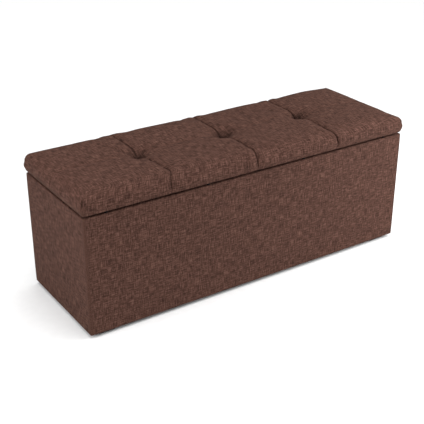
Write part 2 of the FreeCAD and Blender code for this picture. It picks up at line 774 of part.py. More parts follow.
def stay_nodes():
    nodes = {}
    for name, side in SIDES.items():
        nodes[f"stay_{name}_arm"] = on_side(stay_arm(), side)
        nodes[f"stay_{name}_stud_plate"] = drill(on_side(stud_plate(), side), stud_screws())
        nodes[f"stay_{name}_nut"] = on_side(stay_nut(), side)
        nodes[f"stay_{name}_lid_bracket"] = drill(on_side(lid_bracket(), side), lid_bracket_screws())
        nodes[f"stay_{name}_rivet"] = on_side(stay_rivet(), side)
    return nodes


def screw_nodes():
    groups = {
        "wall_screws": wall_screws(),
        "bottom_screws": bottom_screws(),
        "foot_screws": foot_screws(),
        "hinge_rim_screws": hinge_screws(False),
        "hinge_lid_screws": hinge_screws(True),
        "stay_stud_screws": stud_screws(),
        "stay_lid_screws": lid_bracket_screws(),
    }
    return {name: Part.makeCompound([s.solid() for s in screws]) for name, screws in groups.items()}


def main():
    os.makedirs("parts", exist_ok=True)
    nodes = box_nodes() | lid_nodes() | hinge_nodes() | stay_nodes() | screw_nodes()
    for name, shape in nodes.items():
        if not shape.isValid() or shape.Volume <= 0:
            print("not a valid solid:", name)
        shape.exportStep(f"parts/{name}.step")
    print(len(nodes), "nodes")
    joints = {"hinge pin": Vector(0, PIN_Y, PIN_Z), "lid pivot": lid_pivot(), "stud": body_stud()}
    for name, point in joints.items():
        print(name, "y", round(point.y, 3), "z", round(point.z, 3))


main()
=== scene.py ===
"""Looks of the storage bench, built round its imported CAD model.

Metres, in the CAD's frame: the floor is z = 0, +X runs to the right as seen from the front and +Y to the
back. Cloth and padding are made here and stand for their plain CAD solids. Boards, metal and plastic stay
as the CAD has them and get their materials.
"""

import json
import math

import bmesh
import bpy
import numpy as np
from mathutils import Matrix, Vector


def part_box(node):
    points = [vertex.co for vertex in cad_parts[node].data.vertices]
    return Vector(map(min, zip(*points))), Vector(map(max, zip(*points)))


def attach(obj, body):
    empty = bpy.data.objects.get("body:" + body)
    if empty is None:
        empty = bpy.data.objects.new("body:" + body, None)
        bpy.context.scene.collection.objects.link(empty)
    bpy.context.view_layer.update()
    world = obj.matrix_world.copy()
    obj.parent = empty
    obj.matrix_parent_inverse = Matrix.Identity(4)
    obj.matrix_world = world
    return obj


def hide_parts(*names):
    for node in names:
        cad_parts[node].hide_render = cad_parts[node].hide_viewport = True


MM = 0.001
NOISE_GRID = 256

# ---------------- camera and light
CAMERA_AZIMUTH = -33.52  # degrees, seen from the front left
CAMERA_ELEVATION = 25.97
CAMERA_DISTANCE = 2.988
CAMERA_TARGET = (-0.0417, 0.0, 0.187)
CAMERA_LENS = 76.96  # mm on a 36 mm sensor

WORLD_STRENGTH = 0.35
SUN_STRENGTH = 2.8
SUN_TILT = (6, 8, 0)  # degrees about X, Y and Z
SUN_WIDTH = 70  # degrees
# (name, place, what it looks at, size, watts)
SOFTBOXES = (
    ("key", (1.6, -1.1, 0.85), (0.4, -0.2, 0.25), (0.9, 0.8), 36.0),
    ("fill", (-2.2, -0.4, 1.25), (0, 0, 0.3), (1.4, 1.0), 28.0),
)
FLOOR_HALF = 30.0

# ---------------- colours, linear
BROWN = (0.0695, 0.0328, 0.0239)
PALE_BROWN = (0.0705, 0.036, 0.0276)
BLACK_CLOTH = (0.012, 0.012, 0.013)
FOAM_YELLOW = (0.82, 0.74, 0.5)
CHIPBOARD = (0.45, 0.32, 0.19)
PINE = (0.58, 0.42, 0.25)
TWINE = (0.55, 0.5, 0.4)
BLACK_PLASTIC = (0.012, 0.012, 0.012)
RUBBER = (0.006, 0.005, 0.005)
ZINC = (0.62, 0.62, 0.6)
STAPLE = (0.68, 0.68, 0.68)
YELLOW_ZINC = (0.6, 0.5, 0.28)

# ---------------- cloth
COVER_T = 1.2 * MM
LINING_T = 0.6 * MM
LINING_CLEARANCE = 0.5 * MM  # between the lining and the posts
LINING_BEND_R = 0.8 * MM
LINING_HEM = 9 * MM
HEM_RISE = 0.5 * MM
LINING_WAVE = 1.5 * MM
FLOOR_SWELL = 1.1 * MM
LID_LINING_SAG = 1.2 * MM
STAPLE_PITCH = 52 * MM
STAPLE_PUCKER = 0.12 * MM
STAPLED = 16 * MM  # the staples' puckers reach this far in from the lid lining's edge
DUST_COVER_T = 0.4 * MM
DUST_COVER_SAG = 2.4 * MM
FLAT_CELL = 14 * MM  # mesh cells of the linings and the dust cover
EDGE_CELL = 1 * MM  # width of a sheet's outermost mesh cells
YARN = 1.15 * MM  # between neighbouring yarns of the cover
SLUB_FINE = 430  # slubs to a metre across the yarn
SLUB_LONG = 38  # slubs to a metre along the yarn
SLUB_SHARE = 0.36  # of the cloth's light and dark that comes from each way's slubs
YARN_WANDER = 3.0  # radians that a slub shifts the yarns beside it
PAINTED_CREASE_SHADE = 0.36  # painted shade: how much of the colour is left in a sharp crease

# Lid cover: sizes
LID_CELL = 8 * MM
LID_TOP_R = 31 * MM
LID_BOTTOM_R = 8 * MM
LID_CORNER_R = 15 * MM
LID_CORNER_FULL = 0.1  # how much squarer the border's rounding gets at the corners
LID_CORNER_REACH = 80 * MM
CORNER_RISE = 0.175 * LID_TOP_R  # how far the squarest rounding stands past the plain one
LID_BULGE = 2.4 * MM  # how far the border stands out at its widest line
LID_TUCK = 2.5 * MM  # how far its lower edge draws in
LID_FLANGE = 34 * MM
BOARD_CORNER_R = 25 * MM
LID_CROWN = 1.6 * MM  # how much higher a section's middle stands than its edges
LID_LEAN = 0.25  # radians, how far the foot of the border looks down
LID_SWELL = 1.2 * MM  # uneven rise of the whole pad
RIGHT_END_FALL = 4.5 * MM  # how much lower the pad has settled along its right end
RIGHT_END_REACH = 110 * MM

# Lid cover: seams and buttons
SEAM_CELLS = (2.5 * MM, 5 * MM)  # mesh lines either side of each seam
SEAM_LEANS = (9 * MM, -6 * MM, -12 * MM)  # how far right each seam has gone at the front
CORNER_CELLS = (2 * MM, 4 * MM, 6.5 * MM, 9.5 * MM, 13 * MM)  # mesh lines beside each end of the pad
SEAM_VALLEY = 4.2 * MM
BORDER_VALLEYS = (2.2 * MM, 6.5 * MM, 6.5 * MM)  # on the border, at the left, centre and right seams
SEAM_VALLEY_WIDTH = 10 * MM
SEAM_GROOVE = 2.6 * MM
SEAM_GROOVE_WIDTH = 2.2 * MM
PUCKER = 0.25 * MM
PUCKER_LENGTH = 13 * MM
PIT_DEPTH = 33 * MM
PIT_SPREAD = 16 * MM
PIT_FOLD = 1.5 * MM
PIT_FLOOR_R = 9 * MM
SEAM_VALLEY_LIMIT = 4 * MM  # how far past a pit's depth the cover may be drawn in
PIT_STRETCH = 1.1  # how much longer a pit is along X than along Y
BUTTON_HOLD_R = 15 * MM  # the button holds the cloth this far out
BUTTON_TURNS = 64  # mesh cells round a button
PAINTED_BUTTON_SHADE = 0.45  # painted shade: how dark a button is painted, as shade deep in its pit
GATHER = 0.018  # share by which the gathers stand out round a button's rim
HEM_LEFT = (0.15, 0.4)  # shares of the valleys and of the grooves that are left at the lower edge

# Lid cover: distances down from the pad's flat top, (where something starts to fade, where it has gone)
PIT_FOLD_RUNS = (0, 20 * MM)
PUFF_RUNS = (30 * MM, 60 * MM)
SWELL_RUNS = (40 * MM, 75 * MM)
MOVE_RUNS = (55 * MM, 75 * MM)
DETAIL_RUNS = (70 * MM, 90 * MM)
DRAWN_RUNS = (75 * MM, 98 * MM)
PLEAT_START_RUNS = (8 * MM, 18 * MM)
PLEAT_END_RUNS = (34 * MM, 56 * MM)
HELD_RUN = 68 * MM  # the cloth is held still below this
FOAM_RUN = 21 * MM  # the foam's side ends this far below the rounding of its upper edge
FOAM_GAP = 0.6 * MM  # between the cover and the foam
FOAM_FOOT = 3 * MM  # from the board's underside up to the foam's lower edge
POCKET_GAP = 0.3 * MM  # between the foam and the board's edge
POCKET_TOP = 0.5 * MM  # between the foam and the board's top

# Lid cover: simulation
PUFF_START = 3.6 * MM  # how much lower the cover starts than it ends, because the simulation puffs it up
PUFF_CAP = 7 * MM  # the simulation moves no point of the cover further than this
CLOTH_FRAMES = 20
CLOTH_SETTINGS = {
    "quality": 6,
    "mass": 0.25,
    "tension_stiffness": 40,
    "compression_stiffness": 40,
    "shear_stiffness": 13,
    "bending_stiffness": 0.5,
    "air_damping": 3,
    "shrink_min": -0.008,  # the cover is cut larger than the pad by this share
    "use_pressure": True,
    "uniform_pressure_force": 4.0,
    "pin_stiffness": 1,
}
CLOTH_HOLD = 0.13  # how firmly the foam holds the open cloth, against 1 at seams and buttons

# Pleats and, below 0, ridges at each corner of the lid: (degrees round from its end, depth in mm)
PLEATS = ((22, -1.2), (42, 5.2), (61, -1.8), (77, 2.2))
PLEAT_WIDTH = 7.5  # degrees

# Creases that the cover holds, in mm over the unfolded cover: (from u, v, to u, v, depth, half width)
CREASES = (
    (-327, 12, -378, 128, 3.9, 4),
    (-332, -14, -349, -75, 2.7, 4),
    (14, -4, 85, 12, 5.1, 6),
    (6, 12, 34, 85, 2.7, 7),
    (93, 105, 96, 30, 2.8, 9),
    (149, 140, 135, 35, 3.0, 9),
    (224, 100, 260, 28, 2.8, 9),
    (154, 50, 160, -40, 2.1, 8),
    (332, -6, 440, -50, 2.1, 6),
    (330, -30, 362, -150, 1.8, 6),
    (-300, 8, -200, 22, 2.1, 8),
    (-14, 2, -100, -12, 2.4, 7),
)

# Box cover
BOX_CELL = 12 * MM
BOX_CORNER_R = 6 * MM
BOX_EDGE_R = 3.2 * MM
BOX_WAVE = 0.9 * MM
WAVE_REACH = 50 * MM  # the waves fade out over this, towards the wall's lower edge
UNDER_FLANGE = 30 * MM
INNER_LIP = 30 * MM

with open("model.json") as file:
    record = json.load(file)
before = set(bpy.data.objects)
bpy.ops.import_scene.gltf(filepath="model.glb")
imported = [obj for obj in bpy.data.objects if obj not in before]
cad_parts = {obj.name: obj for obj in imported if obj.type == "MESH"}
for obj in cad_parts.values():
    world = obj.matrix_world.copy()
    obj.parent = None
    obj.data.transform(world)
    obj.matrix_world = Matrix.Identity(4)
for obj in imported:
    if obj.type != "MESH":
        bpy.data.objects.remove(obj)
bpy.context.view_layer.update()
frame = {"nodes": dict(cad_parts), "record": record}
nodes = frame["nodes"]
lid_low, lid_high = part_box("lid_cover")
BUTTONS = ("left", "center", "right")
tufts = [sum(corner.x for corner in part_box(f"button_{name}")) / 2 for name in BUTTONS]


# ---------------- numbers and meshes
def smooth_step(value, start, end):
    """0 before start, 1 after end, and smooth in between."""
    part = np.clip((value - start) / (end - start), 0, 1)
    return part * part * (3 - 2 * part)


def fade_out(value, start, end):
    """1 before start, 0 after end, and smooth in between."""
    return smooth_step(-value, -end, -start)


def lattice_noise(points, cell, seed):
    """Smooth noise from -1 to 1 at points (n, 2), with features about one cell wide."""
    grid = np.random.default_rng(seed).uniform(-1, 1, (NOISE_GRID, NOISE_GRID))
    low = np.floor(points / cell)
    x, y = smooth_step(points / cell - low, 0, 1).T
    i, j = low.astype(int).T % NOISE_GRID
    next_i, next_j = (i + 1) % NOISE_GRID, (j + 1) % NOISE_GRID
    near = grid[i, j] * (1 - x) + grid[next_i, j] * x
    far = grid[i, next_j] * (1 - x) + grid[next_i, next_j] * x
    return near * (1 - y) + far * y


def spaced(low, high, step):
    """Even positions from low to high, about one step apart."""
    return np.linspace(low, high, max(2, round((high - low) / step) + 1))


def travelled(points):
    """Length along a run of points, at each of them."""
    steps = np.linalg.norm(np.diff(points, axis=0), axis=1)
    return np.concatenate([[0], np.cumsum(steps)])


def at_height(flat, height):
    """Places (n, 2) as points at one height."""
    return np.column_stack([flat, np.full(len(flat), height)])


def read_vectors(items, field):
    """One vector from each item, as rows."""
    found = np.zeros(len(items) * 3, np.float32)
    items.foreach_get(field, found)
    return found.reshape(-1, 3).astype(float)


def coordinates(mesh):
    return read_vectors(mesh.vertices, "co")


def vertex_normals(mesh):
    return read_vectors(mesh.vertex_normals, "vector")


def get_vectors(mesh, name):
    return read_vectors(mesh.attributes[name].data, "vector")


def move_to(mesh, points):
    mesh.vertices.foreach_set("co", np.asarray(points, float).ravel())
    mesh.update()


def set_attribute(mesh, name, values, kind="FLOAT_VECTOR"):
    """A vector or a number for every vertex, which materials read by that name."""
    layer = mesh.attributes.get(name) or mesh.attributes.new(name, kind, "POINT")
    field = "vector" if kind == "FLOAT_VECTOR" else "value"
    layer.data.foreach_set(field, np.asarray(values, np.float32).ravel())


def make_object(name, points, faces, weave=None):
    mesh = bpy.data.meshes.new(name)
    mesh.from_pydata([tuple(p) for p in points], [], [tuple(f) for f in faces])
    mesh.validate()
    mesh.polygons.foreach_set("use_smooth", [True] * len(mesh.polygons))
    if weave is not None:
        set_attribute(mesh, "weave", weave)
    made = bpy.data.objects.new(name, mesh)
    bpy.context.scene.collection.objects.link(made)
    return made


def bake_modifiers(item):
    """Turn what the object's modifiers make into its own mesh."""
    depsgraph = bpy.context.evaluated_depsgraph_get()
    made = bpy.data.meshes.new_from_object(item.evaluated_get(depsgraph))
    item.modifiers.clear()
    item.data = made
    return item


def subdivide(item):
    modifier = item.modifiers.new("finer", "SUBSURF")
    modifier.levels = 1
    return bake_modifiers(item)


def thicken(item, thickness):
    """Give a skin its thickness, inward, so that it is a closed solid."""
    modifier = item.modifiers.new("thickness", "SOLIDIFY")
    modifier.thickness = thickness
    modifier.offset = -1
    modifier.use_even_offset = False
    return bake_modifiers(item)


def thick_sheet(name, points, faces, weave, thickness):
    made = make_object(name, points, faces, weave)
    thicken(made, thickness)
    return subdivide(made)


def finish_piece(item, body, material, replaced):
    item.data.materials.append(material)
    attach(item, body)
    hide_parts(*replaced)


# ---------------- material kit
class Material:
    """One material and short ways to add nodes to it."""

    def __init__(self, name, metallic=0.0, sheen=0.0, specular=0.5):
        self.material = bpy.data.materials.new(name)
        self.material.use_nodes = True
        self.tree = self.material.node_tree
        self.shader = self.tree.nodes["Principled BSDF"]
        self.shader.inputs["Metallic"].default_value = metallic
        self.shader.inputs["Sheen Weight"].default_value = sheen
        self.shader.inputs["Sheen Roughness"].default_value = 0.4
        self.shader.inputs["Specular IOR Level"].default_value = specular

    def put(self, socket, value):
        if isinstance(value, bpy.types.NodeSocket):
            self.tree.links.new(value, socket)
        else:
            socket.default_value = value

    def node(self, kind, inputs, output=0, **settings):
        made = self.tree.nodes.new("ShaderNode" + kind)
        for key, value in settings.items():
            setattr(made, key, value)
        for key, value in inputs.items():
            self.put(made.inputs[key], value)
        return made.outputs[output]

    def attribute(self, name, output="Vector"):
        made = self.tree.nodes.new("ShaderNodeAttribute")
        made.attribute_name = name
        return made.outputs[output]

    def place(self):
        return self.node("TexCoord", {}, "Object")

    def scaled(self, vector, scale):
        return self.node("Mapping", {"Vector": vector, "Scale": scale})

    def noise(self, vector, scale=1.0, detail=2.0, roughness=0.5):
        inputs = {"Vector": vector, "Scale": scale, "Detail": detail, "Roughness": roughness}
        return self.node("TexNoise", inputs, "Fac")

    def math(self, operation, first, second=0.0, third=0.0):
        return self.node("Math", {0: first, 1: second, 2: third}, operation=operation)

    def ranged(self, value, low, high):
        """A 0 to 1 pattern, moved to run from low to high."""
        return self.math("MULTIPLY_ADD", value, high - low, low)

    def ramp(self, value, stops):
        made = self.tree.nodes.new("ShaderNodeValToRGB")
        points = made.color_ramp.elements
        while len(points) < len(stops):
            points.new(0.5)
        for point, (position, colour) in zip(points, stops):
            point.position = position
            point.color = (*colour, 1.0)
        self.put(made.inputs["Fac"], value)
        return made.outputs["Color"]

    def shade(self, colour, amount):
        """A colour times a grey amount."""
        return self.node("VectorMath", {0: colour, 3: amount}, operation="SCALE")

    def finish(self, colour, roughness, height, distance, strength):
        """Set the colour, the roughness and a relief from height, distance metres deep at full strength."""
        bump = {"Height": height, "Distance": distance, "Strength": strength}
        self.put(self.shader.inputs["Base Color"], colour)
        self.put(self.shader.inputs["Roughness"], roughness)
        self.put(self.shader.inputs["Normal"], self.node("Bump", bump))
        return self.material


def tint(colour, amount):
    return tuple(c * amount for c in colour)


# ---------------- materials
def upholstery():
    """Heather brown linen-look cloth: light and dark slubs both ways over a plain weave."""
    m = Material("heather_cloth", sheen=0.0, specular=0.07)
    weave = m.attribute("weave")
    warp = m.noise(m.scaled(weave, (SLUB_FINE, SLUB_LONG, 1)), detail=3)
    weft = m.noise(m.scaled(weave, (SLUB_LONG, SLUB_FINE, 1)), detail=3)
    fine = m.noise(weave, 520, detail=3, roughness=0.7)
    patches = m.noise(weave, 9, detail=2)
    heather = m.math("ADD", m.math("MULTIPLY", warp, SLUB_SHARE), m.math("MULTIPLY", weft, SLUB_SHARE))
    heather = m.math("MULTIPLY_ADD", fine, 1 - 2 * SLUB_SHARE, heather)
    colour = m.ramp(
        heather,
        (
            (0.42, tint(BROWN, 0.4)),
            (0.48, tint(BROWN, 0.8)),
            (0.52, tint(BROWN, 1.15)),
            (0.6, tint(PALE_BROWN, 2.0)),
        ),
    )
    colour = m.shade(colour, m.ranged(patches, 0.9, 1.1))
    # painted shade: the crease attribute darkens the cloth in grooves, creases, pleats and pits, where shade
    # falls
    crease = m.attribute("crease", "Fac")
    colour = m.shade(colour, m.ranged(crease, 1.0, PAINTED_CREASE_SHADE))
    across = m.node("SeparateXYZ", {0: weave}, "X")
    along = m.node("SeparateXYZ", {0: weave}, "Y")
    turns = math.pi / YARN
    across = m.math("SINE", m.math("MULTIPLY_ADD", across, turns, m.math("MULTIPLY", weft, YARN_WANDER)))
    along = m.math("SINE", m.math("MULTIPLY_ADD", along, turns, m.math("MULTIPLY", warp, YARN_WANDER)))
    yarns = m.ranged(m.math("MULTIPLY", across, along), 0.3, 0.7)
    height = m.math("MULTIPLY_ADD", heather, 1.6, yarns)
    return m.finish(colour, m.ranged(fine, 0.8, 0.98), height, 0.6 * MM, 0.7)


def nonwoven(name):
    """Thin black spunbond cloth with its grid of small pressed dots."""
    m = Material(name, sheen=0.02, specular=0.3)
    weave = m.attribute("weave")
    dots = {"Vector": weave, "Scale": 420.0, "Randomness": 0.15}
    pressed = m.node("TexVoronoi", dots, "Distance", voronoi_dimensions="2D")
    fibres = m.noise(m.scaled(weave, (900, 240, 1)), detail=4, roughness=0.7)
    patches = m.noise(weave, 14)
    colour = m.ramp(fibres, ((0.3, tint(BLACK_CLOTH, 0.6)), (0.7, tint(BLACK_CLOTH, 2.2))))
    colour = m.shade(colour, m.ranged(patches, 0.8, 1.25))
    height = m.math("MULTIPLY_ADD", fibres, 0.4, pressed)
    return m.finish(colour, m.ranged(fibres, 0.62, 0.85), height, 0.3 * MM, 0.6)


def foam():
    """Open-cell foam, yellowed in patches."""
    m = Material("foam_cells")
    cells = {"Vector": m.place(), "Scale": 700.0}
    pores = m.node("TexVoronoi", cells, "Distance")
    age = m.noise(m.place(), 6, detail=3)
    colour = m.ramp(age, ((0.35, tint(FOAM_YELLOW, 0.82)), (0.65, FOAM_YELLOW)))
    colour = m.shade(colour, m.ranged(pores, 0.8, 1.05))
    return m.finish(colour, m.ranged(pores, 0.85, 1.0), pores, 0.6 * MM, 0.8)


def chipboard():
    """Pressed wood chips under a sanded face."""
    m = Material("pressed_chips")
    chips = {"Vector": m.scaled(m.place(), (160, 160, 260)), "Scale": 1.0}
    chip = m.node("TexVoronoi", chips, "Color")
    tone = m.node("SeparateXYZ", {0: chip}, "X")
    dust = m.noise(m.place(), 900, detail=3)
    mixed = m.math("MULTIPLY_ADD", dust, 0.4, m.math("MULTIPLY", tone, 0.6))
    stops = ((0.2, tint(CHIPBOARD, 0.55)), (0.5, CHIPBOARD), (0.8, tint(CHIPBOARD, 1.35)))
    return m.finish(m.ramp(mixed, stops), m.ranged(tone, 0.65, 0.85), mixed, 0.3 * MM, 0.5)


def pine():
    """Planed softwood with its grain along Z."""
    m = Material("planed_pine")
    place = m.scaled(m.place(), (1, 1, 0.08))
    drift = m.noise(place, 30, detail=2)
    bands = {"Vector": place, "Scale": 60.0, "Distortion": 3.0, "Detail": 2.0}
    rings = m.node("TexWave", bands, "Fac")
    mixed = m.math("MULTIPLY_ADD", rings, 0.7, m.math("MULTIPLY", drift, 0.3))
    stops = ((0.2, tint(PINE, 1.15)), (0.7, tint(PINE, 0.85)), (0.95, tint(PINE, 0.55)))
    return m.finish(m.ramp(mixed, stops), m.ranged(rings, 0.5, 0.65), mixed, 0.2 * MM, 0.4)


def plastic():
    """Black moulded plastic with a fine spark texture, scuffed near the floor."""
    m = Material("moulded_plastic")
    grain = m.noise(m.place(), 1400, detail=2)
    scuffs = m.noise(m.scaled(m.place(), (90, 90, 500)), detail=4, roughness=0.7)
    scuffs = m.ramp(scuffs, ((0.56, (0, 0, 0)), (0.72, (1, 1, 1))))
    worn = tint(BLACK_PLASTIC, 4.0)
    colours = {0: scuffs, 6: (*BLACK_PLASTIC, 1), 7: (*worn, 1)}
    colour = m.node("Mix", colours, 2, data_type="RGBA")
    return m.finish(colour, m.ranged(grain, 0.38, 0.6), grain, 0.1 * MM, 0.6)


def rubber():
    """Soft black rubber with a faint grey bloom."""
    m = Material("soft_rubber", specular=0.06)
    bloom = m.noise(m.place(), 160, detail=4)
    colour = m.ramp(bloom, ((0.35, RUBBER), (0.75, tint(RUBBER, 2.6))))
    return m.finish(colour, m.ranged(bloom, 0.7, 0.92), bloom, 0.1 * MM, 0.4)


def twine():
    """Waxed two-ply twine."""
    m = Material("waxed_twine")
    plies = {"Vector": m.scaled(m.place(), (300, 300, 500)), "Scale": 1.0, "Distortion": 1.0}
    lay = m.node("TexWave", plies, "Fac", bands_direction="DIAGONAL")
    colour = m.ramp(lay, ((0.1, tint(TWINE, 0.5)), (0.8, TWINE)))
    return m.finish(colour, m.ranged(lay, 0.6, 0.8), lay, 0.3 * MM, 0.8)


def plated(name, colour, low, high):
    """Plated steel: cloudy spangle, fine scratches and dulled patches."""
    m = Material(name, metallic=1.0)
    spangle = m.noise(m.place(), 220, detail=3)
    scratches = m.noise(m.scaled(m.place(), (60, 1500, 900)), detail=2)
    patches = m.noise(m.place(), 45, detail=2)
    tone = m.ramp(spangle, ((0.3, tint(colour, 0.78)), (0.7, tint(colour, 1.12))))
    dull = m.math("MULTIPLY_ADD", scratches, 0.5, m.math("MULTIPLY", patches, 0.5))
    return m.finish(tone, m.ranged(dull, low, high), scratches, 0.05 * MM, 0.4)


# ---------------- swept covers
def ring(fractions, half_x, half_y, inset, radius):
    """Points and outward directions once round a rounded rectangle drawn in by an inset, which may vary."""
    half = np.array([half_x, half_y]) - np.broadcast_to(inset, len(fractions))[:, None]
    core = half - radius
    square = fractions * half
    middle = np.clip(square, -core, core)
    out = square - middle
    out /= np.maximum(np.linalg.norm(out, axis=1), 1e-9)[:, None]
    return middle + radius * out, out


def rectangle_edge(across, along):
    """Shares (x, y) once round a rectangle's edge, counterclockwise from its front left corner."""
    front = [(x, -1) for x in across[:-1]]
    right = [(1, y) for y in along[:-1]]
    back = [(-x, 1) for x in across[:-1]]
    left = [(-1, -y) for y in along[:-1]]
    return np.array(front + right + back + left, float)


def band_faces(first, second, count):
    """Quads between two closed rows of vertices that start at first and second."""
    return [
        (first + i, second + i, second + (i + 1) % count, first + (i + 1) % count)
        for i in range(count)
    ]


# ---------------- box cover
def box_profile(low, high):
    """(inset, height, run) from the hem inside the rim, over it, down outside and in underneath."""
    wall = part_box("front_panel")[1].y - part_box("front_panel")[0].y
    inside = wall + 2 * COVER_T
    edge = BOX_EDGE_R
    points = [(inside, high - INNER_LIP), (inside, high - 2 * INNER_LIP / 3), (inside, high - edge)]
    turn = np.radians(np.arange(30, 91, 30))
    points += [(inside - edge * (1 - math.cos(a)), high - edge * (1 - math.sin(a))) for a in turn]
    points += [(inside / 2, high)]
    points += [(edge * (1 - math.sin(a)), high - edge * (1 - math.cos(a))) for a in (turn - turn[0])]
    points += [(0.0, high - edge)]
    points += [(0.0, z) for z in spaced(low + edge, high - 3 * edge, BOX_CELL)[::-1]]
    points += [(edge * (1 - math.cos(a)), low + edge * (1 - math.sin(a))) for a in turn]
    points += [(inset, low) for inset in spaced(edge, UNDER_FLANGE, BOX_CELL)[1:]]
    return np.column_stack([np.array(points), travelled(points)])


def edge_shares(half, step, corner):
    """Shares from -1 to 1 of a half size, with extra ones on the corner's arc."""
    inner = half - corner
    middle = spaced(-inner, inner, step)
    arc = inner + corner * np.array([0.3, 0.6, 0.82, 1.0])
    return np.concatenate([-arc[::-1], middle, arc]) / half


def wall_wave(place, height, low, high):
    """How far the cloth stands out from its wall at places (along the wall, height)."""
    swell = lattice_noise(place, cell=0.13, seed=11) + 0.5 * lattice_noise(place, cell=0.047, seed=12)
    fade = smooth_step(height, low, low + WAVE_REACH) * fade_out(height, high - 40 * MM, high)
    return BOX_WAVE * fade * (0.5 + 0.35 * swell)


def body_cover(material):
    """Fabric stretched over the box's walls, with its rim, inner hem and turned-in lower edge."""
    low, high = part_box("body_cover")
    half = np.array([high.x, high.y])
    across, along = (edge_shares(h, BOX_CELL, BOX_CORNER_R) for h in half)
    shares = rectangle_edge(across, along)
    around = shares * half
    count = len(shares)
    profile = box_profile(low.z, high.z)
    rows, weave, faces = [], [], []
    for inset, height, run in profile:
        flat, out = ring(shares, *half, inset, max(BOX_CORNER_R - inset, 1 * MM))
        travel = np.where(np.abs(out[:, 0]) > np.abs(out[:, 1]), around[:, 1], around[:, 0])
        # each wall gets its own part of the noise and of the weave
        moved = travel + 3 * out[:, 0]
        if inset < COVER_T and low.z + 8 * MM < height < high.z - 8 * MM:
            flat = flat + out * wall_wave(at_height(moved, height), height, low.z, high.z)[:, None]
        rows.append(at_height(flat, height))
        weave.append(np.column_stack([moved + 7 * out[:, 1], np.full(count, run), 0 * travel]))
    for row in range(len(profile) - 1):
        faces += band_faces(row * count, (row + 1) * count, count)
    cover = thick_sheet("body_cover_fabric", np.vstack(rows), faces, np.vstack(weave), COVER_T)
    finish_piece(cover, "box", material, ["body_cover"])
    width = 4 * (high.x + high.y) + (2 * math.pi - 8) * BOX_CORNER_R
    flat = (round(float(profile[-1, 2]), 3), round(width, 3))


# ---------------- lid cover
def lid_profile(low, high):
    """(inset, height, tilt of the normal, run) from the flat top's edge down, and in underneath."""
    centre = high - LID_TOP_R
    foot = low + LID_BOTTOM_R
    rows = []
    for a in np.radians(np.linspace(0, 90, 7)):
        rows.append((LID_TOP_R * (1 - math.sin(a)), centre + LID_TOP_R * math.cos(a), math.pi / 2 - a))
    for share in np.linspace(0, 1, 5)[1:]:
        inset = LID_TUCK * share**2 - LID_BULGE * 4 * share * (1 - share)
        rows.append((inset, centre + (foot - centre) * share, -LID_LEAN * share))
    for a in np.radians((30, 60, 90)):
        rows.append((LID_TUCK + LID_BOTTOM_R * (1 - math.cos(a)), foot - LID_BOTTOM_R * math.sin(a), -a))
    for inset in spaced(LID_TUCK + LID_BOTTOM_R, LID_FLANGE, LID_CELL)[1:]:
        rows.append((inset, low, -math.pi / 2))
    found = np.array(rows)
    return np.column_stack([found, travelled(found[:, :2])])


def from_tufts(u, v):
    """Distances from each place to the nearest seam, and to the middle of the nearest button."""
    beside = np.min([np.abs(u - x) for x in tufts], axis=0)
    reach = np.min([np.hypot(u - x, v) for x in tufts], axis=0)
    return beside, reach


def mesh_lines(half, seams):
    """Mesh lines along one axis: even ones, and closer ones beside each seam and near both ends."""
    near = [x + side * gap for x in seams for gap in SEAM_CELLS for side in (-1, 1)]
    near += [side * (half - gap) for gap in CORNER_CELLS for side in (-1, 1)]
    stops = [-half, *seams, half]
    found = []
    for start, stop in zip(stops[:-1], stops[1:]):
        found += list(spaced(start, stop, LID_CELL))
    found = [x for x in found if all(abs(x - n) > 0.4 * LID_CELL for n in near) or x in stops]
    return np.array(sorted(set(np.round(found + near, 6))))


def seam_lean(u, v):
    """How far the cover lies to the right of its plain place, because its seams lean towards the front."""
    seams = [-lid_high.x, *tufts, lid_high.x]
    leans = np.interp(u, seams, [0.0, *SEAM_LEANS, 0.0])
    return leans * smooth_step(-v, 20 * MM, lid_high.y)


def drawn_depth(u, v):
    """How far the cover is drawn in at (u, v): valleys along the seams, and pits at the buttons."""
    depth = np.zeros_like(u)
    down = np.abs(v) - lid_high.y
    border = smooth_step(down, -LID_TOP_R, 0)
    hem = 1 - (1 - HEM_LEFT[0]) * smooth_step(down, 18 * MM, 44 * MM)
    for x, at_border in zip(tufts, BORDER_VALLEYS):
        beside = np.abs(u - x)
        deep = SEAM_VALLEY + (at_border - SEAM_VALLEY) * border
        valley = deep * hem * np.exp(-beside / SEAM_VALLEY_WIDTH)
        reach = np.hypot(beside / PIT_STRETCH, v)
        pit = PIT_DEPTH * np.exp(-np.maximum(reach - PIT_FLOOR_R, 0) / PIT_SPREAD)
        depth = np.maximum(depth, valley + pit)
    return np.minimum(depth, PIT_DEPTH + SEAM_VALLEY_LIMIT)


def crown_height(u):
    """How far a section's middle stands above its edges, less what the pad has settled at its right end."""
    edges = np.array([-lid_high.x, *tufts, lid_high.x])
    section = np.clip(np.searchsorted(edges, u) - 1, 0, len(edges) - 2)
    middle = (edges[section] + edges[section + 1]) / 2
    half = (edges[section + 1] - edges[section]) / 2
    share = np.clip(np.abs(u - middle) / half, 0, 1)
    flat_end = lid_high.x - LID_TOP_R
    settled = smooth_step(u, flat_end - RIGHT_END_REACH, flat_end)
    return LID_CROWN * (1 - share**3) - RIGHT_END_FALL * settled


def cell_face(i, j, columns):
    """The quad of a grid's cell in column i and row j."""
    a = j * columns + i
    return (a, a + 1, a + 1 + columns, a + columns)


def grid_edge(columns, rows):
    """Vertices once round a grid's outside, counterclockwise from its first one."""
    front = list(range(columns))
    right = [j * columns + columns - 1 for j in range(rows)]
    back = [(rows - 1) * columns + i for i in range(columns)][::-1]
    left = [j * columns for j in range(rows)][::-1]
    return front[:-1] + right[:-1] + back[:-1] + left[:-1]


